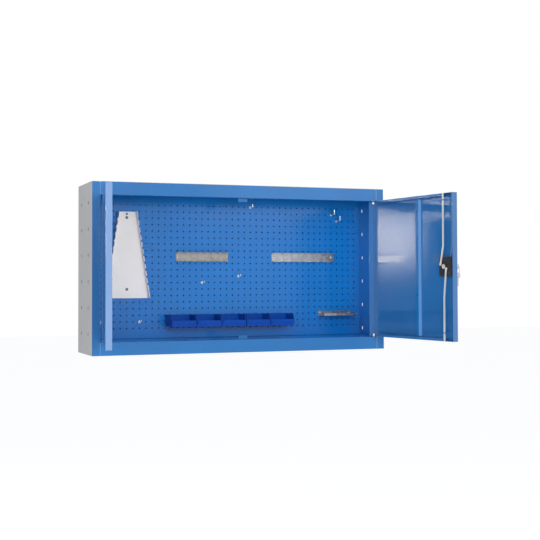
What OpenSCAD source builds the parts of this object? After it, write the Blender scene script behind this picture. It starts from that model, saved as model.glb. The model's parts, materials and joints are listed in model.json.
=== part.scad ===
// Wall-hung tool cabinet with two inset doors, a perforated back and hook-on fittings.
// Millimetres. X runs along the width, Y from the front towards the wall, Z up.
// The origin is the middle of the wall face, which is also the middle of the four wall holes.

/* [Cabinet] */
// Overall width
width = 1155; // [900:1:1600]
// Overall height
height = 630; // [500:1:900]
// Overall depth, from the front frame to the wall
depth = 270; // [220:1:400]
// Thickness of the carcass and door sheet
sheet = 1.2; // [0.8:0.1:2]
// Thickness of the painted lining inside each side
liner = 1; // [0.6:0.1:1.5]
// Face width of each front post
post_w = 30; // [24:1:50]
// Depth of the fold behind each front post
post_fold = 24; // [15:1:26]
// Face height of the top and bottom rails
rail_h = 48; // [40:1:80]
// Depth of the fold that edges the door opening
rail_fold = 28; // [25:1:40]
// Distance from the wall to the front of the perforated panel
panel_setback = 40; // [25:1:60]

/* [Perforated panel] */
// Distance between holes, both ways
hole_pitch = 25; // [20:1:40]
// Diameter of each hole
hole_d = 5.5; // [4:0.1:8]
// Thickness of the perforated sheet
panel_t = 1.5; // [1:0.1:2.5]
// Least distance from the outermost holes to the outside of the cabinet
hole_margin = 25; // [20:1:60]
// Height of the lowest row of holes above the floor
first_row = 40; // [30:1:80]

/* [Wall fixing] */
// Distance between the wall holes along the width
wall_span_x = 1000; // [700:1:1400]
// Distance of each wall hole from the top or bottom edge
wall_hole_inset = 23; // [15:1:30]
// Diameter of each wall hole
wall_hole_d = 9; // [6:0.1:12]

/* [Side slots] */
// Number of slots in each column
slot_rows = 6; // [3:1:7]
// Distance between slots along the height
slot_pitch = 96; // [60:1:110]
// Length of a slot
slot_len = 12; // [8:1:20]
// Width of a slot
slot_w = 9; // [4:0.5:12]
// Distance of the front column of slots from the front
slot_front_y = 73; // [50:1:90]
// Distance between the two columns of slots
slot_col_gap = 127; // [80:1:130]

/* [Doors] */
// Thickness of each door, from its face to the ends of its flanges
door_t = 21; // [16:1:24]
// Gap between a door and the rails, and between the doors
door_gap = 2; // [1.5:0.1:4]
// Gap between a door and its post
hinge_gap = 2.5; // [2.3:0.1:5]
// Distance of the hinge axis from the door's hinge edge
axis_in = 8; // [7:0.1:10]
// Distance of the hinge axis behind the door's face
axis_back = 6; // [5:0.1:7]
// Angle at which the left door stands open
open_left = 100; // [0:1:115]
// Angle at which the right door stands open
open_right = 98; // [0:1:115]
// Width of the door's top and bottom lips
end_lip = 10; // [8:1:20]
// Distance of those lips from the hinge edge
lip_start = 60; // [40:1:120]
// Width of the upright stiffener's flat top
stiffener_w = 17; // [12:1:40]
// Width of each slope beside it
stiffener_slope = 7; // [4:1:15]
// Depth of the upright stiffener
stiffener_d = 10; // [6:1:14]
// Distance of the stiffener's middle from the hinge edge, as a share of the door
stiffener_at = 0.573; // [0.45:0.001:0.65]
// Diameter of the hinge pins
pin_d = 6; // [4:0.1:7]

/* [Lock] */
// Distance of the lock's axis from the door's free edge
lock_inset = 58; // [50:1:120]
// Height of the lock's axis above the middle of the cabinet
lock_rise = 2; // [-40:1:40]
// Distance of the rod pins from the lock's axis
throw_r = 18.5; // [15:0.5:22]
// Width of the locking rods
rod_w = 7; // [5:0.5:10]
// Thickness of the locking rods
rod_t = 3; // [2:0.5:4]

/* [Fittings] */
// Distance from the left side to the middle of the wrench rack
rack_x = 177.5; // [120:1:250]
// Distance from the left side to the first screw of the left tool rail and to the first bin
rail_start = 377.5; // [330:1:450]
// Height of the tool rails in the cabinet
rail_z = 363; // [250:1:450]
// Thickness of the plated fittings
plate = 1.5; // [1:0.1:2.5]
// Height of the tool rails
tool_rail_h = 35; // [25:1:50]
// How far the tool rails stand out
tool_rail_d = 22; // [15:1:40]
// How far the wrench rack's flanges stand out
rack_d = 30; // [20:1:45]
// Number of wrench notches in the rack
rack_notches = 10; // [6:1:10]
// Width of each small-parts bin
bin_w = 97; // [80:1:98]
// Depth of each bin
bin_d = 90; // [70:1:110]
// Height of each bin
bin_h = 45; // [40:1:70]
// Wall thickness of the bins
bin_wall = 2; // [1.5:0.1:3]
// Depth of the small shelf
shelf_d = 70; // [50:1:110]

/* [Hidden] */
$fn = 48;

// Pieces of different bodies, and loose seats, stay this far apart
seat_gap = 0.3;
// Radial clearance of a turning fit
run_gap = 0.05;

// Door opening and door size
open_x0 = post_w;
open_x1 = width - post_w;
open_z0 = rail_h;
open_z1 = height - rail_h;
axis_x = post_w + hinge_gap + axis_in;
door_w = (width - 2 * post_w - 2 * hinge_gap - door_gap) / 2;
door_z0 = open_z0 + door_gap;
door_z1 = open_z1 - door_gap;
inner_x = sheet + liner;
// Flanges along the back stop short of the wall holes
back_flange = 13;

// Carcass details
top_flange = 18;
side_hole_y = 159.3;
side_hole_r = 2;
side_hole_in = 3;
angle_w = 20;
angle_end = 12;

// Perforated panel: where it ends below and above, and its free strip above the top row
panel_foot = 1;
panel_over = 16;
top_row_free = 12;
panel_y = depth - panel_setback;
cols = floor((width - 2 * hole_margin) / hole_pitch) + 1;
rows = floor((open_z1 - open_z0 - first_row - top_row_free) / hole_pitch) + 1;
panel_top = open_z1 + panel_over;
panel_z0 = open_z0 + panel_foot;
function col_x(k) = width / 2 + (k - (cols - 1) / 2) * hole_pitch;
function row_z(m) = open_z0 + first_row + m * hole_pitch;
// The hole nearest to a place on the panel
function near_col(x) = round((x - col_x(0)) / hole_pitch);
function near_row(z) = round((z - row_z(0)) / hole_pitch);

// Plastic bushes in the door ends, and the pins in them
bush_wall = 1.5;
bush_r = pin_d / 2 + bush_wall;
bush_flange = 1.2;
bush_len = 9;
pin_head_h = 2.5;
pin_over = 3;

// Door details
lip_gap = 1;
stiffener_foot = 6;
stiffener_hole_r = 4;
stiffener_hole_low = 163;
stiffener_hole_high = 57;

// Lock, in the right door's own measures
lock_u = door_w - lock_inset;
lock_z = height / 2 + lock_rise;
cam_angle = 153;
cam_hub_r = 13;
cam_arm_w = 12;
rod_pin_u = throw_r * cos(cam_angle);
rod_pin_z = throw_r * sin(cam_angle);
case_w = 76;
case_h = 70;
case_off = 6;
case_corner_r = 8;
case_v1 = 14;
cylinder_r = 9;
collar_r = 13;
collar_t = 18;
plug_r = 5;
plug_proud = 0.5;
keyway_w = 2.6;
keyway_h = 8;
keyway_depth = 11;
cam_v0 = case_v1 + seat_gap;
cam_t = 3;
nut_r = 8;
nut_hole_r = 3;
nut_t = 2.5;

// Locking rods: each bends once, then runs straight to its end of the door
cam_rod_gap = 0.7;
rod_v0 = cam_v0 + cam_t + cam_rod_gap;
rod_upper_u = lock_u;
rod_lower_u = lock_u + 5;
rod_upper_bend = 75;
rod_lower_bend = 110;
lip_stop = rod_upper_u - 5;
rod_tip_gap = 1;
rod_eye_r = 5.5;
rivet_r = 2.5;
rivet_head = 1.2;
rivet_gap = 0.4;
rod_slot_gap = 1;
rod_notch_w = 12;
guide_w = 12;
guide_h = 3;
guide_wall = 1.5;
guide_upper_in = 24;
guide_lower_in = 30;

// Key
key_t = 2;
key_blade_len = 30;
key_blade_w = 7;
bow_r = 11;
bow_v = -40;
bow_web = 3;
eye_r = 3.2;
eye_in = bow_r - eye_r - bow_web;
ring_r = 12;
ring_wire = 0.9;

// Bins
bin_count = 5;
bin_col0 = near_col(rail_start);
bin_step_cols = ceil((bin_w + 2) / hole_pitch);
bin_last_col = bin_col0 + bin_step_cols * (bin_count - 1);
bin_rise = 6;
bin_z0 = row_z(0) + bin_rise;
bin_back_gap = 12;
bin_back_y = panel_y - bin_back_gap;
bin_rim_h = 24;
bin_front_slope = 7;
bin_screw_row = 1;
hook_t = 1.6;
hook_in = 6;
hook_y = panel_y - 4;

// Stop tabs
tab_w = 36;
tab_h = 14;
tab_foot = 14;
tab_gap = 2.5;
pad_x = 4;
pad_r = 3.5;
pad_in = 5;

frame_blue = [0.16, 0.38, 0.66];
inner_blue = [0.11, 0.33, 0.62];
side_grey = [0.68, 0.68, 0.7];
zinc = [0.7, 0.7, 0.7];
cream = [0.85, 0.82, 0.72];
bin_blue = [0.02, 0.2, 0.6];

// Shared shapes

// From the lower left front corner of the cabinet to the part's own origin
module in_cabinet() translate([-width / 2, -depth, -height / 2]) children();

module box(a, b) translate(a) cube(b - a);

// Cross-section of a folded sheet whose middle line runs through the points
module fold(pts, t) {
    for (i = [0 : len(pts) - 2]) {
        d = pts[i + 1] - pts[i];
        translate(pts[i]) rotate(atan2(d.y, d.x)) translate([0, -t / 2]) square([norm(d), t]);
    }
    for (i = [1 : 1 : len(pts) - 2]) translate(pts[i]) circle(d = t);
}

// Door measures: u from the hinge edge, v from the face inwards, z up
module on_left_door(angle = open_left)
    in_cabinet() translate([axis_x, axis_back, 0]) rotate(-angle)
        translate([-axis_in, -axis_back, 0]) children();

module on_right_door(angle = open_right)
    in_cabinet() translate([width, 0, 0]) mirror([1, 0, 0])
        translate([axis_x, axis_back, 0]) rotate(-angle)
            translate([-axis_in, -axis_back, 0]) children();

module rounded_plate(w, h, r) {
    square([w - 2 * r, h], center = true);
    square([w, h - 2 * r], center = true);
    for (x = [-1, 1], y = [-1, 1]) translate([x * (w / 2 - r), y * (h / 2 - r)]) circle(r = r);
}

module along_y(at, r, len) translate(at) rotate([-90, 0, 0]) cylinder(r = r, h = len);

// Mirrored copy for the right-hand side
module other_side(right) if (right) translate([width, 0, 0]) mirror([1, 0, 0]) children(); else children();

// A profile drawn across the width (Y, Z) and drawn out along X
module along_x(x0, x1) translate([x0, 0, 0]) rotate([90, 0, 90]) linear_extrude(x1 - x0) children();

// Carcass

module slot_cuts(x0, x1)
    for (y = [slot_front_y, slot_front_y + slot_col_gap], i = [0 : slot_rows - 1])
        box([x0, y - slot_w / 2, height / 2 + (i - (slot_rows - 1) / 2) * slot_pitch - slot_len / 2],
            [x1, y + slot_w / 2, height / 2 + (i - (slot_rows - 1) / 2) * slot_pitch + slot_len / 2]);

module small_side_holes(x0, x1)
    for (z = [rail_h + side_hole_in, height - rail_h - side_hole_in])
        translate([x0, side_hole_y, z]) rotate([0, 90, 0]) cylinder(r = side_hole_r, h = x1 - x0);

module side_panel(right) color(side_grey) in_cabinet() other_side(right)
    difference() {
        box([0, sheet, 0], [sheet, depth, height]);
        slot_cuts(-1, sheet + 1);
        small_side_holes(-1, sheet + 1);
    }

module side_liner(right) color(inner_blue) in_cabinet() other_side(right)
    difference() {
        box([sheet, sheet, sheet], [inner_x, depth - 2 * sheet, height - sheet]);
        slot_cuts(0, inner_x + 1);
    }

module front_post(right) color(frame_blue) in_cabinet() other_side(right)
    linear_extrude(height - sheet)
        fold([[0, sheet / 2], [post_w - sheet / 2, sheet / 2], [post_w - sheet / 2, post_fold]], sheet);

module top_panel() color(side_grey) in_cabinet()
    along_x(sheet, width - sheet)
        fold([[0, height - sheet / 2], [depth - sheet * 1.5, height - sheet / 2],
              [depth - sheet * 1.5, height - back_flange]], sheet);

// Holes in the fold of a rail: the hinge pins and the tips of the locking rods
module rail_fold_cuts(z0, z1, rod_u) {
    for (x = [axis_x, width - axis_x])
        translate([x, axis_back, z0]) cylinder(r = pin_d / 2 + run_gap, h = z1 - z0);
    x = width - axis_x + axis_in - rod_u;
    box([x - rod_w / 2 - rod_slot_gap, rod_v0 - rod_slot_gap, z0],
        [x + rod_w / 2 + rod_slot_gap, rod_v0 + rod_t + rod_slot_gap, z1]);
}

module top_rail() color(frame_blue) in_cabinet()
    difference() {
        along_x(open_x0, open_x1)
            fold([[top_flange, height - sheet * 1.5], [sheet / 2, height - sheet * 1.5],
                  [sheet / 2, open_z1 + sheet / 2], [rail_fold, open_z1 + sheet / 2]], sheet);
        rail_fold_cuts(open_z1 - 1, open_z1 + sheet + 1, rod_upper_u);
    }

module bottom_rail() color(frame_blue) in_cabinet()
    difference() {
        along_x(open_x0, open_x1)
            fold([[rail_fold, sheet / 2], [sheet / 2, sheet / 2], [sheet / 2, open_z0 - sheet / 2],
                  [rail_fold, open_z0 - sheet / 2]], sheet);
        rail_fold_cuts(open_z0 - sheet - 1, open_z0 + 1, rod_lower_u);
    }

module floor_panel() color(inner_blue) in_cabinet()
    along_x(inner_x, width - inner_x)
        fold([[rail_fold, open_z0 - sheet / 2], [depth - sheet * 1.5, open_z0 - sheet / 2],
              [depth - sheet * 1.5, open_z0 - back_flange]], sheet);

module back_panel() color(side_grey) in_cabinet()
    difference() {
        box([sheet, depth - sheet, 0], [width - sheet, depth, height]);
        for (x = [-1, 1], z = [wall_hole_inset, height - wall_hole_inset])
            along_y([width / 2 + x * wall_span_x / 2, depth - sheet - 1, z], wall_hole_d / 2, sheet + 2);
    }

module perforated_panel() color(inner_blue) in_cabinet()
    translate([0, panel_y + panel_t, 0]) rotate([90, 0, 0]) linear_extrude(panel_t)
        difference() {
            translate([inner_x, panel_z0]) square([width - 2 * inner_x, panel_top - panel_z0]);
            for (k = [0 : cols - 1], m = [0 : rows - 1]) translate([col_x(k), row_z(m)]) circle(d = hole_d);
        }

module panel_angle(right) color(side_grey) in_cabinet() other_side(right)
    translate([0, 0, open_z0 + angle_end]) linear_extrude(panel_top - open_z0 - 2 * angle_end)
        fold([[angle_w, panel_y + panel_t + sheet / 2], [inner_x + sheet / 2, panel_y + panel_t + sheet / 2],
              [inner_x + sheet / 2, depth - sheet]], sheet);

module door_stop(top) color(frame_blue) in_cabinet() {
    z = top ? open_z1 : open_z0;
    s = top ? -1 : 1;
    y = door_t + tab_gap;
    along_x(width / 2 - tab_w / 2, width / 2 + tab_w / 2)
        fold([[y + tab_foot, z + s * sheet / 2], [y, z + s * sheet / 2], [y, z + s * tab_h]], sheet);
}

module stop_pads() color([0.1, 0.1, 0.1]) in_cabinet()
    for (x = [-1, 1], z = [open_z0 + tab_h - pad_in, open_z1 - tab_h + pad_in])
        along_y([width / 2 + x * pad_x, door_t + seat_gap, z], pad_r, tab_gap - sheet / 2 - seat_gap);

// Hinges

module hinge_pins(right) color(zinc) in_cabinet() other_side(right)
    translate([axis_x, axis_back, 0]) {
        translate([0, 0, open_z0 - pin_over]) cylinder(r = pin_d / 2, h = bush_len + 2 * pin_over);
        translate([0, 0, open_z0 - sheet - pin_head_h]) cylinder(r = bush_r, h = pin_head_h);
        translate([0, 0, open_z1 - bush_len - pin_over]) cylinder(r = pin_d / 2, h = bush_len + 2 * pin_over);
        translate([0, 0, open_z1 + sheet]) cylinder(r = bush_r, h = pin_head_h);
    }

module pivot_bush() difference() {
    union() {
        cylinder(r = bush_r, h = bush_len);
        translate([0, 0, -door_gap + seat_gap]) cylinder(r = bush_r + bush_flange, h = door_gap - seat_gap);
    }
    translate([0, 0, -door_gap - 1]) cylinder(r = pin_d / 2 + run_gap, h = bush_len + door_gap + 2);
}

module pivot_bushes_here() translate([axis_in, axis_back, 0]) {
    translate([0, 0, door_z0]) pivot_bush();
    translate([0, 0, door_z1]) mirror([0, 0, 1]) pivot_bush();
}

module left_pivot_bushes() color("white") on_left_door() pivot_bushes_here();

module right_pivot_bushes() color("white") on_right_door() pivot_bushes_here();

// Doors

// One sheet, folded back along all four sides, with a lip on each end flange
module door_skin_here() {
    m = sheet / 2;
    difference() {
        union() {
            translate([0, 0, door_z0]) linear_extrude(door_z1 - door_z0)
                fold([[m, door_t], [m, m], [door_w - m, m], [door_w - m, door_t]], sheet);
            for (z = [door_z0, door_z1 - sheet]) box([m, m, z], [door_w - m, door_t, z + sheet]);
            for (z = [door_z0, door_z1 - end_lip])
                box([lip_start, door_t - sheet, z], [lip_stop, door_t, z + end_lip]);
        }
        for (z = [door_z0 - 1, door_z1 - sheet - 1])
            translate([axis_in, axis_back, z]) cylinder(r = bush_r + run_gap, h = sheet + 2);
    }
}

module stiffener_here() {
    u = door_w * stiffener_at;
    foot_v = sheet * 1.5;
    top = stiffener_w / 2;
    base = top + stiffener_slope;
    end = base + stiffener_foot;
    difference() {
        translate([0, 0, door_z0 + end_lip + lip_gap])
            linear_extrude(door_z1 - door_z0 - 2 * end_lip - 2 * lip_gap)
                fold([[u - end, foot_v], [u - base, foot_v], [u - top, stiffener_d],
                      [u + top, stiffener_d], [u + base, foot_v], [u + end, foot_v]], sheet);
        for (z = [door_z0 + stiffener_hole_low, door_z1 - stiffener_hole_high])
            along_y([u, stiffener_d - sheet, z], stiffener_hole_r, 2 * sheet);
    }
}

module left_door_skin() color(frame_blue) on_left_door() door_skin_here();

module left_door_stiffener() color(frame_blue) on_left_door() stiffener_here();

module rod_notch(u, z0, z1)
    box([u - rod_notch_w / 2, case_v1, z0], [u + rod_notch_w / 2, door_t + 1, z1]);

module right_door_skin() color(frame_blue) on_right_door()
    difference() {
        door_skin_here();
        along_y([lock_u, -1, lock_z], cylinder_r + run_gap, sheet + 2);
        rod_notch(rod_upper_u, door_z1 - sheet - 1, door_z1 + 1);
        rod_notch(rod_lower_u, door_z0 - 1, door_z0 + sheet + 1);
    }

module right_door_stiffener() color(frame_blue) on_right_door() stiffener_here();

// Lock

module lock_case() color([0.1, 0.1, 0.1]) on_right_door()
    difference() {
        translate([lock_u + case_off, case_v1, lock_z]) rotate([90, 0, 0]) linear_extrude(case_v1 - sheet)
            rounded_plate(case_w, case_h, case_corner_r);
        along_y([lock_u, 0, lock_z], cylinder_r + run_gap, case_v1 + 1);
    }

module lock_cylinder() color(zinc) on_right_door()
    difference() {
        union() {
            along_y([lock_u, -collar_t, lock_z], cylinder_r, case_v1 + collar_t);
            along_y([lock_u, -collar_t, lock_z], collar_r, collar_t);
        }
        along_y([lock_u, -collar_t - 1, lock_z], plug_r + run_gap, case_v1 + collar_t + 2);
    }

module lock_plug() color([0.8, 0.75, 0.55]) on_right_door()
    difference() {
        along_y([lock_u, -collar_t - plug_proud, lock_z], plug_r, cam_v0 + cam_t + collar_t + plug_proud);
        box([lock_u - keyway_w / 2, -collar_t - plug_proud - 1, lock_z - keyway_h / 2],
            [lock_u + keyway_w / 2, keyway_depth, lock_z + keyway_h / 2]);
    }

module lock_cam() color([0.12, 0.12, 0.12]) on_right_door()
    translate([lock_u, cam_v0 + cam_t, lock_z]) rotate([90, 0, 0]) linear_extrude(cam_t)
        difference() {
            union() {
                circle(r = cam_hub_r);
                for (a = [cam_angle, cam_angle + 180]) rotate(a) {
                    translate([0, -cam_arm_w / 2]) square([throw_r, cam_arm_w]);
                    translate([throw_r, 0]) circle(d = cam_arm_w);
                }
            }
            circle(r = plug_r);
        }

module cam_nut() color(zinc) on_right_door()
    translate([lock_u, cam_v0 + cam_t + nut_t, lock_z]) rotate([90, 0, 0]) linear_extrude(nut_t)
        difference() {
            circle(r = nut_r);
            circle(r = nut_hole_r);
        }

// A flat rod with an eye over its cam pin; the rivet in the eye stops just clear of the cam
module rod_shape(eye, bend, tip) {
    translate([0, rod_v0 + rod_t, 0]) rotate([90, 0, 0]) linear_extrude(rod_t) {
        fold([eye, bend, tip], rod_w);
        translate(eye) circle(r = rod_eye_r);
    }
    along_y([eye.x, rod_v0 - rivet_gap, eye.y], rivet_r, rivet_gap + rod_t + rivet_head);
}

module upper_rod() color(cream) on_right_door()
    rod_shape([lock_u + rod_pin_u, lock_z + rod_pin_z], [rod_upper_u, lock_z + rod_upper_bend],
              [rod_upper_u, door_z1 + rod_tip_gap]);

module lower_rod() color(cream) on_right_door()
    rod_shape([lock_u - rod_pin_u, lock_z - rod_pin_z], [rod_lower_u, lock_z - rod_lower_bend],
              [rod_lower_u, door_z0 - rod_tip_gap]);

module rod_guide(u, z) difference() {
    box([u - guide_w / 2, sheet, z - guide_h / 2],
        [u + guide_w / 2, rod_v0 + rod_t + guide_wall, z + guide_h / 2]);
    box([u - rod_w / 2 - seat_gap, rod_v0 - seat_gap, z - guide_h],
        [u + rod_w / 2 + seat_gap, rod_v0 + rod_t + seat_gap, z + guide_h]);
}

module rod_guides() color(frame_blue) on_right_door() {
    rod_guide(rod_upper_u, door_z1 - guide_upper_in);
    rod_guide(rod_lower_u, door_z0 + guide_lower_in);
}

// A key in its own plane: bow at the origin, blade along -X
module key_outline() difference() {
    union() {
        circle(r = bow_r);
        translate([-bow_r - key_blade_len + 2, -key_blade_w / 2]) square([key_blade_len, key_blade_w]);
    }
    translate([eye_in, 0]) circle(r = eye_r);
}

module key() color(zinc) on_right_door()
    translate([lock_u + key_t / 2, bow_v, lock_z]) rotate([90, 0, -90]) linear_extrude(key_t) key_outline();

module key_ring() color(zinc) on_right_door()
    translate([lock_u, bow_v - eye_in, lock_z - eye_r + ring_wire + seat_gap - ring_r])
        rotate([90, 0, 0]) rotate_extrude() translate([ring_r, 0]) circle(r = ring_wire, $fn = 24);

module spare_key() color(zinc) on_right_door() {
    hole_z = lock_z - 2 * ring_r - 2 * eye_r + 2 * ring_wire + 2 * seat_gap;
    translate([lock_u + key_t / 2, bow_v - eye_in, hole_z - eye_in])
        rotate([0, -90, 0]) linear_extrude(key_t) key_outline();
}

// Hook-on fittings

screw_head_h = 2.2;
screw_slack = 0.4;
screw_over = 3;
big_head_r = 5.2;
small_head_r = 3.8;

module screw(k, m, head_r) {
    y = panel_y - plate;
    along_y([col_x(k), y - screw_head_h, row_z(m)], head_r, screw_head_h);
    along_y([col_x(k), y - 1, row_z(m)], hole_d / 2 - screw_slack, 1 + plate + panel_t + screw_over);
}

// Clearance hole through a plated fitting at one hole of the panel
module screw_hole(k, m) along_y([col_x(k), panel_y - 2 * plate, row_z(m)], hole_d / 2, 3 * plate);

rack_col = near_col(rack_x);
rack_rows = [near_row(238), near_row(513)];
rack_below = 34;
rack_above = 23;
rack_z0 = row_z(rack_rows[0]) - rack_below;
rack_z1 = row_z(rack_rows[1]) + rack_above;
rack_hole_up = 14;
rack_hole_r = 4.5;
rack_top_w = 70;
rack_bottom_w = 170;
rack_slope = atan2((rack_bottom_w - rack_top_w) / 2, rack_z1 - rack_z0);
rack_notch_pitch = 27.5;
rack_notch_w = 9;
rack_notch_d = 16;
rack_notch_top = 30;
function rack_notch_z(i) = rack_z1 - rack_notch_top - i * rack_notch_pitch;

module rack_flange() linear_extrude(rack_d)
    polygon([[-rack_bottom_w / 2, rack_z0], [-rack_bottom_w / 2 + plate / cos(rack_slope), rack_z0],
             [-rack_top_w / 2 + plate / cos(rack_slope), rack_z1], [-rack_top_w / 2, rack_z1]]);

module wrench_rack() color([0.78, 0.78, 0.77]) in_cabinet() difference() {
    translate([col_x(rack_col), panel_y, 0]) rotate([90, 0, 0]) {
        linear_extrude(plate)
            polygon([[-rack_bottom_w / 2, rack_z0], [rack_bottom_w / 2, rack_z0],
                     [rack_top_w / 2, rack_z1], [-rack_top_w / 2, rack_z1]]);
        rack_flange();
        mirror([1, 0, 0]) rack_flange();
    }
    for (i = [0 : rack_notches - 1])
        box([0, panel_y - rack_d - 1, rack_notch_z(i) - rack_notch_w / 2],
            [width / 2, panel_y - rack_d + rack_notch_d, rack_notch_z(i) + rack_notch_w / 2]);
    for (m = rack_rows) screw_hole(rack_col, m);
    along_y([col_x(rack_col), panel_y - 2 * plate, row_z(rack_rows[1]) + rack_hole_up],
            rack_hole_r, 3 * plate);
}

module wrench_rack_screws() color(zinc) in_cabinet()
    for (m = rack_rows) screw(rack_col, m, big_head_r);

// A channel, open to the front, whose flanges are notched for tool shafts
rail_row = near_row(rail_z);
notch_back = 7;
notch_end = 12;

module tool_rail(cx, len, notches, notch_w) {
    z = row_z(rail_row);
    difference() {
        along_x(cx - len / 2, cx + len / 2)
            fold([[panel_y - tool_rail_d, z + tool_rail_h / 2 - plate / 2],
                  [panel_y - plate / 2, z + tool_rail_h / 2 - plate / 2],
                  [panel_y - plate / 2, z - tool_rail_h / 2 + plate / 2],
                  [panel_y - tool_rail_d, z - tool_rail_h / 2 + plate / 2]], plate);
        for (i = [0 : notches - 1]) {
            x = cx + (i - (notches - 1) / 2) * (len - 2 * notch_end) / notches;
            box([x - notch_w / 2, 0, z - tool_rail_h],
                [x + notch_w / 2, panel_y - notch_back, z + tool_rail_h]);
        }
    }
}

rail_1_cols = [bin_col0, bin_col0 + 8];
rail_2_cols = [cols - 15, cols - 5];
rail_1_end = 6;
rail_2_end = 10;
rail_1_len = (rail_1_cols[1] - rail_1_cols[0]) * hole_pitch + 2 * rail_1_end;
rail_2_len = (rail_2_cols[1] - rail_2_cols[0]) * hole_pitch + 2 * rail_2_end;

module tool_rail_left() color([0.68, 0.65, 0.6]) in_cabinet() difference() {
    tool_rail((col_x(rail_1_cols[0]) + col_x(rail_1_cols[1])) / 2, rail_1_len, 7, 10);
    for (k = rail_1_cols) screw_hole(k, rail_row);
}

module tool_rail_right() color([0.68, 0.65, 0.6]) in_cabinet() difference() {
    tool_rail((col_x(rail_2_cols[0]) + col_x(rail_2_cols[1])) / 2, rail_2_len, 6, 20);
    for (k = rail_2_cols) screw_hole(k, rail_row);
}

module tool_rail_screws() color(zinc) in_cabinet()
    for (k = concat(rail_1_cols, rail_2_cols)) screw(k, rail_row, small_head_r);

// Bin rail: a strip with an upturned lip that the bins hook over
bin_top = bin_z0 + bin_h;
lip_top = bin_top - hook_t - seat_gap;
lip_h = 8;
lip_y = panel_y - 7.5;
bin_rail_foot = 12;

module bin_rail() color(bin_blue) in_cabinet() difference() {
    along_x(col_x(bin_col0) - bin_w / 2, col_x(bin_last_col) + bin_w / 2)
        fold([[panel_y - plate / 2, row_z(0) + bin_rail_foot], [panel_y - plate / 2, lip_top - lip_h],
              [lip_y, lip_top - lip_h], [lip_y, lip_top]], plate);
    for (i = [0 : bin_count - 1]) screw_hole(bin_col0 + i * bin_step_cols, bin_screw_row);
}

module bin_rail_screws() color(zinc) in_cabinet()
    for (i = [0 : bin_count - 1]) screw(bin_col0 + i * bin_step_cols, bin_screw_row, small_head_r);

// Label holder on a bin's front
label_d = 3.5;
label_in = 3;
label_foot = 11;

// Side outline of a bin, from the front (Y) and its foot (Z)
module bin_outline() polygon([[0, 0], [bin_d, 0], [bin_d, bin_h], [bin_front_slope, bin_h],
    [bin_front_slope / 2, bin_rim_h + bin_front_slope], [0, bin_rim_h]]);

// The hollow reaches out through the front above the rim
module bin_hollow() polygon([[bin_wall, bin_wall], [bin_d - bin_wall, bin_wall],
    [bin_d - bin_wall, bin_h + 1], [-1, bin_h + 1], [-1, bin_rim_h], [bin_wall, bin_rim_h]]);

module bin(i) color(bin_blue) in_cabinet() {
    x = col_x(bin_col0 + i * bin_step_cols);
    y = bin_back_y - bin_d;
    translate([0, y, bin_z0]) difference() {
        union() {
            along_x(x - bin_w / 2, x + bin_w / 2) bin_outline();
            along_x(x - bin_w / 2 + label_in, x + bin_w / 2 - label_in)
                translate([-label_d, label_foot]) square([label_d + bin_wall / 2, bin_rim_h - label_foot]);
        }
        along_x(x - bin_w / 2 + bin_wall, x + bin_w / 2 - bin_wall) bin_hollow();
        box([x - bin_w / 2 + label_in + bin_wall, -label_d - 1, label_foot + bin_wall],
            [x + bin_w / 2 - label_in - bin_wall, -label_d / 2, bin_rim_h - bin_wall]);
    }
    // Hook over the lip of the rail
    along_x(x - bin_w / 2 + hook_in, x + bin_w / 2 - hook_in)
        fold([[bin_back_y - 1, bin_top - hook_t / 2], [hook_y, bin_top - hook_t / 2],
              [hook_y, lip_top - lip_h / 2]], hook_t);
}

// Small shelf with a folded front edge
shelf_cols = [cols - 7, cols - 2];
shelf_row = 2;
shelf_z = row_z(shelf_row) - 10;
shelf_edge = 10;
shelf_back_h = 18;

module tool_shelf() color([0.6, 0.6, 0.62]) in_cabinet() difference() {
    along_x(col_x(shelf_cols[0]) - shelf_edge, col_x(shelf_cols[1]) + shelf_edge)
        fold([[panel_y - plate / 2, shelf_z + shelf_back_h], [panel_y - plate / 2, shelf_z],
              [panel_y - shelf_d, shelf_z], [panel_y - shelf_d, shelf_z + shelf_edge]], plate);
    for (k = shelf_cols) screw_hole(k, shelf_row);
}

module tool_shelf_screws() color(zinc) in_cabinet() for (k = shelf_cols) screw(k, shelf_row, small_head_r);

// A peg that goes through a hole, stands out level and ends in an upturned tip
peg_r = 2.2;
peg_collar_r = 5;
peg_collar_t = 2;
peg_over = 4;
knuckle_r = 2.5;

module peg(k, m, reach, tip) translate([col_x(k), panel_y, row_z(m)]) {
    along_y([0, -peg_collar_t, 0], peg_collar_r, peg_collar_t);
    along_y([0, -reach, 0], peg_r, reach + panel_t + peg_over);
    translate([0, -reach, 0]) {
        sphere(r = knuckle_r);
        cylinder(r = peg_r, h = tip);
    }
}

module single_hook() color(zinc) in_cabinet() peg(floor(cols / 2) + 4, rows - 1, 34, 10);

module hook_pair() color([0.85, 0.85, 0.85]) in_cabinet() {
    peg(cols - 5, rows - 2, 36, 20);
    peg(cols - 4, rows - 3, 36, 20);
}

module level_hooks() color(zinc) in_cabinet() for (k = [2, 8]) peg(k, 1, 30, 8);

module chisel_hooks() color(zinc) in_cabinet() {
    peg(bin_col0 + 4, rail_row - 4, 28, 8);
    peg(bin_col0 + 10, rail_row - 3, 28, 8);
}

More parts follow.
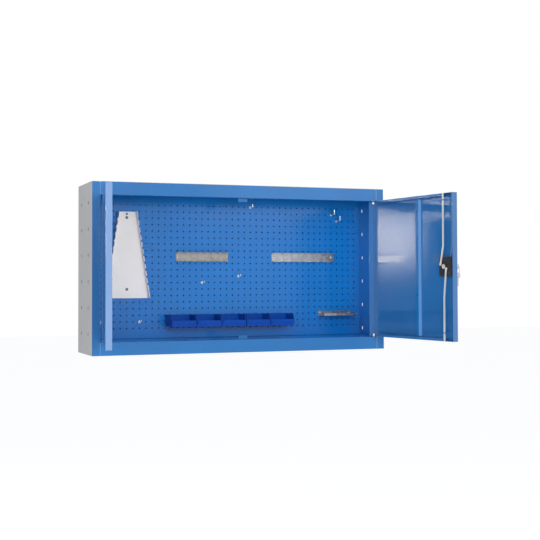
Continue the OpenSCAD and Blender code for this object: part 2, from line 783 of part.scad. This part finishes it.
side_panel(false);  // side_panel_left
side_panel(true);  // side_panel_right
side_liner(false);  // side_liner_left
side_liner(true);  // side_liner_right
front_post(false);  // front_post_left
front_post(true);  // front_post_right
top_panel();
top_rail();
floor_panel();
bottom_rail();
back_panel();
perforated_panel();
panel_angle(false);  // panel_angle_left
panel_angle(true);  // panel_angle_right
door_stop(true);  // door_stop_top
door_stop(false);  // door_stop_bottom
stop_pads();
hinge_pins(false);  // left_hinge_pins
hinge_pins(true);  // right_hinge_pins
left_pivot_bushes();
right_pivot_bushes();
left_door_skin();
left_door_stiffener();
right_door_skin();
right_door_stiffener();
lock_case();
lock_cylinder();
lock_plug();
lock_cam();
cam_nut();
upper_rod();
lower_rod();
rod_guides();
key();
key_ring();
spare_key();
wrench_rack();
wrench_rack_screws();
tool_rail_left();
tool_rail_right();
tool_rail_screws();
bin_rail();
bin_rail_screws();
bin(0);  // bin_1
bin(1);  // bin_2
bin(2);  // bin_3
bin(3);  // bin_4
bin(4);  // bin_5
tool_shelf();
tool_shelf_screws();
single_hook();
hook_pair();
level_hooks();
chisel_hooks();
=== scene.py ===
"""Looks of a wall-hung tool cabinet: painted sheet steel, plated fittings, moulded bins, keys and screws.
Metres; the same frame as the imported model: X along the width, +Y into the wall, Z up."""
import json
import math

import bmesh
import bpy
from mathutils import Matrix, Vector


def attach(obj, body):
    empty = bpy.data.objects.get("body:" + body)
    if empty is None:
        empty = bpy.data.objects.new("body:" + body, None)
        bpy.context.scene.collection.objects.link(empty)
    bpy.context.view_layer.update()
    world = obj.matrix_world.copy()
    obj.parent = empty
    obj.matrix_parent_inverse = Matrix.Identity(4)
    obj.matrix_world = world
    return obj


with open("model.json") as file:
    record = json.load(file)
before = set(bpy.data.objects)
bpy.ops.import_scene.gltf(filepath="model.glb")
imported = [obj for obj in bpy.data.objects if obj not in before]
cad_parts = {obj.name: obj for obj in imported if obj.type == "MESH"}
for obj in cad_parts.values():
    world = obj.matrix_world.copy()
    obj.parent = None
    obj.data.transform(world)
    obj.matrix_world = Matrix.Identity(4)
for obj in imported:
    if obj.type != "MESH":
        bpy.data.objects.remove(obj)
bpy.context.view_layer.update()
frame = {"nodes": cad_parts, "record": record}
NODES = frame["nodes"]
MM = 0.001
WHITE = (1, 1, 1, 1)


# The view of the photograph

PHOTO_SIDE = 540
FOCAL_PX = 1138.7
CENTRE_PX = (300, 250)
SENSOR = 36
FARTHEST = 60
CABINET_SIZE = (1155, 270, 630)
CAMERA_FROM_CORNER = (-789.4, -4077.2, 259.1)
YAW, PITCH, ROLL = 21.31, 1.67, -0.20


def make_camera():
    data = bpy.data.cameras.new("camera")
    data.sensor_width = SENSOR
    data.lens = FOCAL_PX / PHOTO_SIDE * SENSOR
    data.shift_x = (PHOTO_SIDE / 2 - CENTRE_PX[0]) / PHOTO_SIDE
    data.shift_y = (CENTRE_PX[1] - PHOTO_SIDE / 2) / PHOTO_SIDE
    data.clip_end = FARTHEST
    camera = bpy.data.objects.new("camera", data)
    width, depth, height = CABINET_SIZE
    x, y, z = CAMERA_FROM_CORNER
    camera.location = Vector((x - width / 2, y - depth, z - height / 2)) * MM
    heading = Matrix.Rotation(math.radians(-YAW), 4, "Z")
    tilt = Matrix.Rotation(math.radians(90 + PITCH), 4, "X")
    roll = Matrix.Rotation(math.radians(ROLL), 4, "Z")
    camera.rotation_euler = (heading @ tilt @ roll).to_euler()
    bpy.context.scene.collection.objects.link(camera)
    bpy.context.scene.camera = camera


# Node helpers

class Graph:
    """Adds nodes to a tree and links them in the order of their inputs."""

    def __init__(self, tree):
        self.tree = tree

    def add(self, kind, settings=None, **inputs):
        node = self.tree.nodes.new(kind)
        for name, value in (settings or {}).items():
            setattr(node, name, value)
        for name, value in inputs.items():
            self.put(node.inputs[name.replace("_", " ")], value)
        return node

    def put(self, socket, value):
        if isinstance(value, bpy.types.NodeSocket):
            self.tree.links.new(value, socket)
        else:
            socket.default_value = value

    def math(self, operation, a, b=0.5, clamp=False):
        node = self.add("ShaderNodeMath", {"operation": operation, "use_clamp": clamp})
        self.put(node.inputs[0], a)
        self.put(node.inputs[1], b)
        return node.outputs[0]

    def remap(self, value, low, high, to_low=0.0, to_high=1.0):
        node = self.add("ShaderNodeMapRange", Value=value)
        ends = (("From Min", low), ("From Max", high), ("To Min", to_low), ("To Max", to_high))
        for name, number in ends:
            self.put(node.inputs[name], number)
        return node.outputs[0]

    def between(self, value, low, high):
        above = self.math("GREATER_THAN", value, low)
        return self.math("MULTIPLY", above, self.math("LESS_THAN", value, high))

    def noise(self, vector, scale, detail=2.0, roughness=0.5):
        node = self.add("ShaderNodeTexNoise", Vector=vector, Scale=scale, Detail=detail, Roughness=roughness)
        return node.outputs[0]

    def mix(self, factor, a, b):
        node = self.add("ShaderNodeMix", {"data_type": "RGBA"})
        self.put(node.inputs[0], factor)
        self.put(node.inputs[6], a)
        self.put(node.inputs[7], b)
        return node.outputs[2]

    def place(self):
        """The place on the piece, which moves with it."""
        return self.add("ShaderNodeTexCoord").outputs["Object"]

    def normal(self):
        return self.add("ShaderNodeNewGeometry").outputs["Normal"]

    def stretched(self, vector, scale):
        node = self.add("ShaderNodeMapping", Vector=vector)
        self.put(node.inputs["Scale"], scale)
        return node.outputs[0]

    def axes(self, vector):
        return self.add("ShaderNodeSeparateXYZ", Vector=vector).outputs


def new_group(name, inputs, outputs):
    tree = bpy.data.node_groups.new(name, "ShaderNodeTree")
    for label, default in inputs:
        kind = "NodeSocketVector" if isinstance(default, tuple) else "NodeSocketFloat"
        socket = tree.interface.new_socket(label, in_out="INPUT", socket_type=kind)
        socket.default_value = default
    for label in outputs:
        tree.interface.new_socket(label, in_out="OUTPUT", socket_type="NodeSocketFloat")
    graph = Graph(tree)
    return graph, graph.add("NodeGroupInput").outputs, graph.add("NodeGroupOutput").inputs


# Surface effects shared by the materials

def coat_texture_group():
    """Baked paint: fine orange peel, slow clouds in the gloss and small smears."""
    g, given, out = new_group(
        "coat_texture",
        [("Peel Size", 0.0035), ("Peel Depth", 0.5), ("Gloss", 0.35), ("Gloss Spread", 0.1)],
        ["Height", "Roughness", "Cloud"],
    )
    place = g.place()
    peel = g.noise(place, g.math("DIVIDE", 1.0, given["Peel Size"]), detail=3.0, roughness=0.55)
    g.put(out["Height"], g.math("MULTIPLY", peel, given["Peel Depth"]))
    cloud = g.noise(place, scale=2.6, detail=4.0, roughness=0.6)
    smear = g.noise(place, scale=21.0, detail=3.0, roughness=0.6)
    both = g.math("ADD", g.math("MULTIPLY", cloud, 0.6), g.math("MULTIPLY", smear, 0.4))
    spread = g.math("MULTIPLY", g.math("SUBTRACT", both, 0.5), given["Gloss Spread"])
    g.put(out["Roughness"], g.math("ADD", given["Gloss"], spread, clamp=True))
    g.put(out["Cloud"], cloud)
    return g.tree


def edge_wear_and_highlight_group():
    """Where a fold or cut edge shows: 1 on the edge, 0 on the flat, broken up by noise. It drives a lighter
    edge colour that is part rubbed paint and part painted highlight.
    """
    g, given, out = new_group("edge_wear_and_highlight", [("Width", 0.0012), ("Amount", 0.5), ("Break Up", 60.0)], ["Mask"])
    rounded = g.add("ShaderNodeBevel", {"samples": 4}, Radius=given["Width"]).outputs["Normal"]
    dot = g.add("ShaderNodeVectorMath", {"operation": "DOT_PRODUCT"})
    g.put(dot.inputs[0], rounded)
    g.put(dot.inputs[1], g.normal())
    edge = g.remap(dot.outputs["Value"], 0.995, 0.8)
    patches = g.remap(g.noise(g.place(), given["Break Up"], detail=3.0, roughness=0.6), 0.38, 0.62)
    worn_and_lit = g.math("MULTIPLY", g.math("MULTIPLY", edge, patches), given["Amount"], clamp=True)
    g.put(out["Mask"], worn_and_lit)
    return g.tree


def dust_group():
    """Dust that settles on faces that look up, and thin marks elsewhere."""
    g, given, out = new_group("dust", [("Amount", 0.3), ("Marks", 0.1)], ["Mask"])
    facing_up = g.remap(g.axes(g.normal())[2], 0.3, 0.95)
    place = g.place()
    film = g.remap(g.noise(place, scale=9.0, detail=5.0, roughness=0.65), 0.35, 0.75)
    grains = g.remap(g.noise(place, scale=420.0, detail=2.0, roughness=0.5), 0.5, 0.75)
    settled = g.math("MULTIPLY", g.math("MULTIPLY", facing_up, given["Amount"]), g.math("ADD", film, 0.3))
    streaked = g.stretched(place, (7.0, 7.0, 60.0))
    marks = g.remap(g.noise(streaked, scale=3.0, detail=4.0, roughness=0.7), 0.66, 0.8)
    marks = g.math("MULTIPLY", marks, given["Marks"])
    grains = g.math("MULTIPLY", g.math("MULTIPLY", grains, film), given["Marks"])
    g.put(out["Mask"], g.math("ADD", settled, g.math("MAXIMUM", marks, grains), clamp=True))
    return g.tree


def metal_grain_group():
    """Rolled or plated metal: fine lines one way, crystal patches and a spread of roughness."""
    g, given, out = new_group(
        "metal_grain",
        [("Stretch", (1.0, 1.0, 1.0)), ("Line Size", 0.002), ("Line Depth", 0.4), ("Patch Size", 0.012),
         ("Gloss", 0.35), ("Gloss Spread", 0.2)],
        ["Height", "Roughness", "Patch"],
    )
    place = g.place()
    rolled = g.stretched(place, given["Stretch"])
    lines = g.noise(rolled, g.math("DIVIDE", 1.0, given["Line Size"]), detail=3.0, roughness=0.6)
    g.put(out["Height"], g.math("MULTIPLY", lines, given["Line Depth"]))
    crystal_scale = g.math("DIVIDE", 1.0, given["Patch Size"])
    crystals = g.add("ShaderNodeTexVoronoi", Vector=place, Scale=crystal_scale).outputs["Color"]
    crystal = g.add("ShaderNodeSeparateColor", Color=crystals).outputs[0]
    soft = g.noise(place, g.math("DIVIDE", 0.4, given["Patch Size"]), detail=4.0, roughness=0.6)
    patch = g.math("ADD", g.math("MULTIPLY", crystal, 0.45), g.math("MULTIPLY", soft, 0.55))
    g.put(out["Patch"], patch)
    spread = g.math("MULTIPLY", g.math("SUBTRACT", patch, 0.5), given["Gloss Spread"])
    g.put(out["Roughness"], g.math("ADD", given["Gloss"], spread, clamp=True))
    return g.tree


def moulded_group():
    """Moulded plastic: fine spark texture, faint flow lines, soft changes in gloss."""
    g, given, out = new_group(
        "moulded",
        [("Grain Size", 0.0012), ("Grain Depth", 0.4), ("Gloss", 0.4)],
        ["Height", "Roughness", "Flow"],
    )
    place = g.place()
    grain = g.noise(place, g.math("DIVIDE", 1.0, given["Grain Size"]), detail=2.0, roughness=0.5)
    g.put(out["Height"], g.math("MULTIPLY", grain, given["Grain Depth"]))
    flow = g.noise(g.stretched(place, (6.0, 30.0, 30.0)), scale=1.4, detail=4.0, roughness=0.6)
    g.put(out["Flow"], flow)
    change = g.math("MULTIPLY", g.math("SUBTRACT", flow, 0.5), 0.18)
    g.put(out["Roughness"], g.math("ADD", given["Gloss"], change))
    return g.tree


GROUPS = {
    "coat": coat_texture_group(),
    "edge": edge_wear_and_highlight_group(),
    "dust": dust_group(),
    "metal": metal_grain_group(),
    "moulded": moulded_group(),
}


def place_group(g, name, **inputs):
    node = g.add("ShaderNodeGroup", {"node_tree": GROUPS[name]})
    for label, value in inputs.items():
        g.put(node.inputs[label.replace("_", " ")], value)
    return node.outputs


# Masks for painted highlights and painted shade on one piece

SEAM_X = CABINET_SIZE[0] / 2 * MM - 0.030
SEAM_HALF = 0.0008
SIDE_DEPTH = (-0.262, -0.01)
SIDE_HEIGHT = (-0.305, 0.305)


def seam_highlight_mask(g):
    """A painted highlight along the welded joints between the front posts and the rails."""
    from_middle = g.math("ABSOLUTE", g.axes(g.place())[0])
    away = g.math("ABSOLUTE", g.math("SUBTRACT", from_middle, SEAM_X))
    return g.remap(away, SEAM_HALF, SEAM_HALF * 2, 0.8, 0.0)


def slot_wall_shade_mask(g):
    """The cut walls of the slots inside the outline of a side panel, which get the inside's blue darkened as
    painted shade.
    """
    edge_on = g.math("LESS_THAN", g.math("ABSOLUTE", g.axes(g.normal())[0]), 0.5)
    place = g.axes(g.place())
    inside = g.math("MULTIPLY", g.between(place[1], *SIDE_DEPTH), g.between(place[2], *SIDE_HEIGHT))
    return g.math("MULTIPLY", edge_on, inside)


def inner_face_shade_mask(g):
    """The face of the back sheet behind the perforated panel, which gets a near-black painted shade."""
    return g.math("LESS_THAN", g.axes(g.normal())[1], -0.5)


# Finishes

DUST = (0.50, 0.49, 0.47, 1.0)
# Lighter tone added on fold and cut edges: part rubbed paint, part painted highlight.
PAINT_EDGE = 0.05
PLASTIC_EDGE = 0.01


def start_material(name):
    material = bpy.data.materials.new(name)
    material.use_nodes = True
    material.node_tree.nodes.clear()
    g = Graph(material.node_tree)
    shader = g.add("ShaderNodeBsdfPrincipled")
    output = g.add("ShaderNodeOutputMaterial")
    g.put(output.inputs["Surface"], shader.outputs[0])
    return material, g, shader


def tone(colour, factor, lighter=0.0):
    return tuple(min(1.0, (c + lighter) * factor) for c in colour[:3]) + (1.0,)


def bump(g, shader, height, distance):
    node = g.add("ShaderNodeBump", Height=height, Distance=distance, Strength=1.0)
    g.put(shader.inputs["Normal"], node.outputs[0])


def paint(name, colour, gloss, shine=1.45, peel=0.00004, wear_and_highlight=0.5, dust=0.15, marks=0.05, spread=0.05,
          lift=1.3, mask=None, mask_colour=None):
    """Baked enamel or powder coat on sheet steel. Edges get a lighter tone, part rubbed paint and part
    painted highlight; shine is the coat's index.
    """
    material, g, shader = start_material(name)
    coating = place_group(g, "coat", Peel_Size=0.004, Peel_Depth=1.0, Gloss=gloss, Gloss_Spread=spread)
    edge = place_group(g, "edge", Width=0.0011, Amount=wear_and_highlight)["Mask"]
    settled = place_group(g, "dust", Amount=dust, Marks=marks)["Mask"]
    shade = g.mix(g.remap(coating["Cloud"], 0.35, 0.65), tone(colour, 0.94), tone(colour, 1.05))
    worn_and_lit = g.mix(edge, shade, tone(colour, lift, PAINT_EDGE))
    if mask:
        worn_and_lit = g.mix(mask(g), worn_and_lit, mask_colour + (1.0,))
    g.put(shader.inputs["Base Color"], g.mix(settled, worn_and_lit, DUST))
    rough = g.math("ADD", coating["Roughness"], g.math("MULTIPLY", settled, 0.4), clamp=True)
    g.put(shader.inputs["Roughness"], rough)
    shader.inputs["IOR"].default_value = shine
    bump(g, shader, coating["Height"], peel)
    return material


def metal(name, colour, gloss, line=0.00003, patch=0.01, contrast=0.15, spread=0.2, metallic=1.0):
    """Bare or plated metal with rolled lines and crystal patches. Edges get a lighter tone, part rubbed metal
    and part painted highlight.
    """
    material, g, shader = start_material(name)
    grain = place_group(g, "metal", Line_Depth=1.0, Patch_Size=patch, Gloss=gloss, Gloss_Spread=spread)
    edge = place_group(g, "edge", Width=0.0007, Amount=0.6)["Mask"]
    shade = g.mix(grain["Patch"], tone(colour, 1 - contrast), tone(colour, 1 + contrast))
    # Edges painted lighter: part rubbed metal, part painted highlight.
    g.put(shader.inputs["Base Color"], g.mix(edge, shade, tone(colour, 1.35)))
    g.put(shader.inputs["Roughness"], grain["Roughness"])
    shader.inputs["Metallic"].default_value = metallic
    bump(g, shader, grain["Height"], line)
    return material


def plastic(name, colour, gloss, grain=0.00003, lift=1.3, dust=0.1, shine=1.45):
    """Moulded plastic with a fine grain; edges painted lighter, part polish and part painted highlight."""
    material, g, shader = start_material(name)
    body = place_group(g, "moulded", Grain_Depth=1.0, Gloss=gloss)
    edge = place_group(g, "edge", Width=0.0009, Amount=0.4)["Mask"]
    settled = place_group(g, "dust", Amount=dust, Marks=0.05)["Mask"]
    shade = g.mix(g.remap(body["Flow"], 0.3, 0.7), tone(colour, 0.93), tone(colour, 1.06))
    worn_and_lit = g.mix(edge, shade, tone(colour, lift, PLASTIC_EDGE))
    g.put(shader.inputs["Base Color"], g.mix(settled, worn_and_lit, DUST))
    g.put(shader.inputs["Roughness"], body["Roughness"])
    shader.inputs["IOR"].default_value = shine
    bump(g, shader, body["Height"], grain)
    return material


SIDE_GREY = (0.375, 0.38, 0.396)
FRAME_BLUE = (0.012, 0.138, 0.385)
GREY_COAT = {"wear_and_highlight": 0.4, "dust": 0.1, "lift": 1.2}
FRAME_COAT = {"wear_and_highlight": 0.35, "peel": 0.00002}
RAIL_SPANGLE = {"patch": 0.006, "contrast": 0.4, "spread": 0.3}

MATERIALS = {
    "side_grey": paint("grey_side_paint", SIDE_GREY, 0.5, **GREY_COAT),
    # Slotted side sheets: the slot walls get a dark blue, the inside's paint darkened as painted shade.
    "side_sheet": paint("grey_slotted_side_paint", SIDE_GREY, 0.5, **GREY_COAT,
                        mask=slot_wall_shade_mask, mask_colour=(0.02, 0.06, 0.13)),
    # Back sheet: its face behind the perforated panel gets a near-black painted shade.
    "back_sheet": paint("grey_back_paint", SIDE_GREY, 0.5, **GREY_COAT,
                        mask=inner_face_shade_mask, mask_colour=(0.006, 0.012, 0.03)),
    "inner_blue": paint("panel_blue_paint", (0.006, 0.160, 0.500), 0.18, wear_and_highlight=0.05, dust=0.08, peel=0.000006),
    "frame_blue": paint("frame_blue_paint", FRAME_BLUE, 0.2, **FRAME_COAT),
    # Front posts and rails, with a painted highlight line along their joints.
    "front_blue": paint("front_blue_paint", FRAME_BLUE, 0.2, **FRAME_COAT,
                        mask=seam_highlight_mask, mask_colour=(0.12, 0.27, 0.52)),
    # The floor panel: the interior blue painted lighter, as painted light and painted reflection.
    "floor_blue": paint("floor_blue_paint_with_painted_light", (0.012, 0.260, 0.720), 0.2, wear_and_highlight=0.1, dust=0.06, peel=0.00001),
    "door_blue": paint("door_blue_enamel", (0.022, 0.130, 0.345), 0.03, shine=1.8, wear_and_highlight=0.1, dust=0.1,
                       spread=0.02, peel=0.000001),
    "rack_grey": paint("light_grey_rack_paint", (0.82, 0.80, 0.79), 0.4, wear_and_highlight=0.5, peel=0.00002),
    "screw_steel": metal("dark_screw_steel", (0.20, 0.19, 0.18), 0.35, patch=0.004),
    "zinc": metal("bright_zinc", (0.62, 0.62, 0.60), 0.3, patch=0.006),
    "brass": metal("yellow_brass", (0.62, 0.46, 0.20), 0.3),
    "cream_paint": metal("yellow_zinc_rod", (0.83, 0.80, 0.70), 0.42, contrast=0.06, metallic=0.55),
    "rail_grey": metal("spangled_zinc_rail", (0.44, 0.45, 0.47), 0.38, **RAIL_SPANGLE),
    # A darker copy of the rail zinc, used on the left tool rail.
    "darker_rail": metal("darker_zinc_rail", (0.30, 0.29, 0.275), 0.42, **RAIL_SPANGLE),
    "black_rubber": plastic("black_rubber", (0.02, 0.02, 0.02), 0.7),
    "white_plastic": plastic("white_nylon", (0.78, 0.78, 0.75), 0.4),
    "black_plastic": plastic("black_lock_plastic", (0.022, 0.018, 0.018), 0.42),
    "bin_blue": plastic("royal_blue_bin", (0.002, 0.062, 0.36), 0.4, shine=1.22),
}
FINISH_OF_NODE = {
    "side_panel_left": "side_sheet",
    "side_panel_right": "side_sheet",
    "back_panel": "back_sheet",
    "top_rail": "front_blue",
    "bottom_rail": "front_blue",
    "front_post_left": "front_blue",
    "front_post_right": "front_blue",
    "stop_pads": "front_blue",
    "floor_panel": "floor_blue",
    "left_door_skin": "door_blue",
    "right_door_skin": "door_blue",
    "wrench_rack_screws": "screw_steel",
    "tool_rail_left": "darker_rail",
    "cam_nut": "cream_paint",
}


def paint_cad_nodes():
    slot_of = {part["node"]: part["material_slot"] for part in frame["record"]["subparts"]}
    for name, node in NODES.items():
        material = MATERIALS[FINISH_OF_NODE.get(name, slot_of[name])]
        mesh = node.data
        if not mesh.materials:
            mesh.materials.append(material)
        for index in range(len(mesh.materials)):
            mesh.materials[index] = material


# Screw heads, placed by the columns and rows of the perforated panel

HOLE_PITCH = 25 * MM
FIRST_HOLE = Vector((-550, 0, -227)) * MM
PLATE_FACE_Y = -41.5 * MM
RACK_HOLES = [(6, 6), (6, 17)]
RAIL_HOLES = [(column, 11) for column in (14, 22, 30, 40)]
BIN_RAIL_HOLES = [(14 + 4 * i, 1) for i in range(5)]
SHELF_HOLES = [(38, 2), (43, 2)]
SIDES = 24
SOCKET_SIDES = 6
SHARP_FROM = 40
# Radius and height, as shares of the head's own, from the plate inwards
CROWN = [(1.0, 0.0), (1.0, 0.25), (0.96, 0.45), (0.86, 0.68), (0.72, 0.86), (0.56, 0.97), (0.50, 1.0)]
SOCKET = [(0.46, 0.98), (0.44, 0.92), (0.42, 0.68)]


def hole_place(column, row):
    return FIRST_HOLE + Vector((column * HOLE_PITCH, PLATE_FACE_Y, row * HOLE_PITCH))


def ring(bm, centre, radius, height, sides):
    """A ring of points round a screw's axis, standing out towards the front."""
    points = []
    for i in range(SIDES):
        angle = 2 * math.pi * i / SIDES
        reach = radius
        if sides < SIDES:
            step = 2 * math.pi / sides
            reach *= math.cos(step / 2) / math.cos(angle % step - step / 2)
        away = Vector((reach * math.cos(angle), -height, reach * math.sin(angle)))
        points.append(bm.verts.new(centre + away))
    return points


def domed_head(bm, centre, radius, height):
    """A button head: a crowned rim round a six-sided socket."""
    rings = []
    for profile, sides in ((CROWN, SIDES), (SOCKET, SOCKET_SIDES)):
        rings += [ring(bm, centre, radius * out, height * up, sides) for out, up in profile]
    for lower, upper in zip(rings, rings[1:]):
        for i in range(SIDES):
            bm.faces.new((lower[i], lower[i - 1], upper[i - 1], upper[i]))
    bm.faces.new(rings[-1])


def make_screw_heads(name, places, radius, height, material):
    bm = bmesh.new()
    for column, row in places:
        domed_head(bm, hole_place(column, row), radius, height)
    bmesh.ops.recalc_face_normals(bm, faces=bm.faces)
    mesh = bpy.data.meshes.new(name)
    bm.to_mesh(mesh)
    bm.free()
    for face in mesh.polygons:
        face.use_smooth = True
    mesh.set_sharp_from_angle(angle=math.radians(SHARP_FROM))
    mesh.materials.append(MATERIALS[material])
    piece = bpy.data.objects.new(name, mesh)
    bpy.context.scene.collection.objects.link(piece)
    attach(piece, "cabinet")


def make_details():
    make_screw_heads("rack_screw_heads", RACK_HOLES, 5.6 * MM, 3.4 * MM, "screw_steel")
    small = RAIL_HOLES + BIN_RAIL_HOLES + SHELF_HOLES
    make_screw_heads("small_screw_heads", small, 4.2 * MM, 3.3 * MM, "zinc")


# Studio

FLOOR_Z = -1.6
FLOOR_HALF = 30
FLOOR_TONE = (0.86, 0.86, 0.86, 1)
FLOOR_GLOW = 0.5
SOFT_TONE = (0.97, 0.98, 1.0, 1)
SOFT_LEVEL = 0.56
WARM = (1.0, 0.9, 0.74)


def looked_at(g):
    """1 where the background is looked at straight, in a mirror or through glass."""
    path = g.add("ShaderNodeLightPath").outputs
    clear = g.math("MAXIMUM", path["Is Glossy Ray"], path["Is Transmission Ray"])
    return g.math("MAXIMUM", path["Is Camera Ray"], clear)


def make_world():
    """White where it is looked at, softer as a light."""
    world = bpy.data.worlds.new("studio")
    world.use_nodes = True
    bpy.context.scene.world = world
    world.node_tree.nodes.clear()
    g = Graph(world.node_tree)
    plain = g.add("ShaderNodeBackground", Color=WHITE, Strength=1.0)
    soft = g.add("ShaderNodeBackground", Color=SOFT_TONE, Strength=SOFT_LEVEL)
    mixed = g.add("ShaderNodeMixShader")
    g.put(mixed.inputs[0], looked_at(g))
    g.put(mixed.inputs[1], soft.outputs[0])
    g.put(mixed.inputs[2], plain.outputs[0])
    output = g.add("ShaderNodeOutputWorld")
    g.put(output.inputs["Surface"], mixed.outputs[0])


def make_floor():
    """A pale floor that keeps the cabinet's shadow."""
    mesh = bpy.data.meshes.new("floor")
    corners = [(-1, -1), (1, -1), (1, 1), (-1, 1)]
    mesh.from_pydata([(x * FLOOR_HALF, y * FLOOR_HALF, FLOOR_Z) for x, y in corners], [], [(0, 1, 2, 3)])
    floor = bpy.data.objects.new("floor", mesh)
    bpy.context.scene.collection.objects.link(floor)
    material = bpy.data.materials.new("pale_floor")
    material.use_nodes = True
    material.node_tree.nodes.clear()
    g = Graph(material.node_tree)
    matt = g.add("ShaderNodeBsdfDiffuse", Color=FLOOR_TONE)
    level = g.math("MULTIPLY", looked_at(g), FLOOR_GLOW)
    glow = g.add("ShaderNodeEmission", Color=WHITE, Strength=level)
    both = g.add("ShaderNodeAddShader")
    g.put(both.inputs[0], matt.outputs[0])
    g.put(both.inputs[1], glow.outputs[0])
    g.put(g.add("ShaderNodeOutputMaterial").inputs["Surface"], both.outputs[0])
    mesh.materials.append(material)


def make_lamp(name, place, aim, size, power, colour=(1.0, 1.0, 1.0), spread=180, matt=True, mirrored=True):
    """A rectangular lamp, which may light only matt surfaces or only be mirrored in shiny ones."""
    data = bpy.data.lights.new(name, "AREA")
    data.color = colour
    data.shape = "RECTANGLE"
    data.size, data.size_y = size
    data.energy = power
    data.spread = math.radians(spread)
    lamp = bpy.data.objects.new(name, data)
    lamp.location = place
    lamp.rotation_euler = (Vector(aim) - Vector(place)).to_track_quat("-Z", "Y").to_euler()
    lamp.visible_diffuse = matt
    lamp.visible_glossy = mirrored
    bpy.context.scene.collection.objects.link(lamp)


def make_studio():
    make_world()
    make_floor()
    make_lamp("window", place=(-2.75, -3.4, 0.7), aim=(-1.6, 0, 0.5), size=(4.0, 3.6), power=86)
    make_lamp("front", place=(-0.2, -4.0, 0.45), aim=(0, 0, 0), size=(1.6, 0.9), power=52, mirrored=False)
    make_lamp("bounce", place=(-0.6, -3.2, -1.15), aim=(0, 0, 0), size=(3.0, 0.7), power=12)
    make_lamp("skylight", place=(1.6, -3.3, 1.2), aim=(1.6, 0, 1.2), size=(1.7, 1.64), power=12, matt=False)
    make_lamp("softbox", place=(-1.88, -2.25, 0.25), aim=(0.15, -0.04, 0.25), size=(1.0, 0.32), power=1.45,
              colour=WARM, spread=16, matt=False)
    bpy.context.scene.view_settings.view_transform = "Standard"


make_camera()
make_studio()
paint_cad_nodes()
make_details()
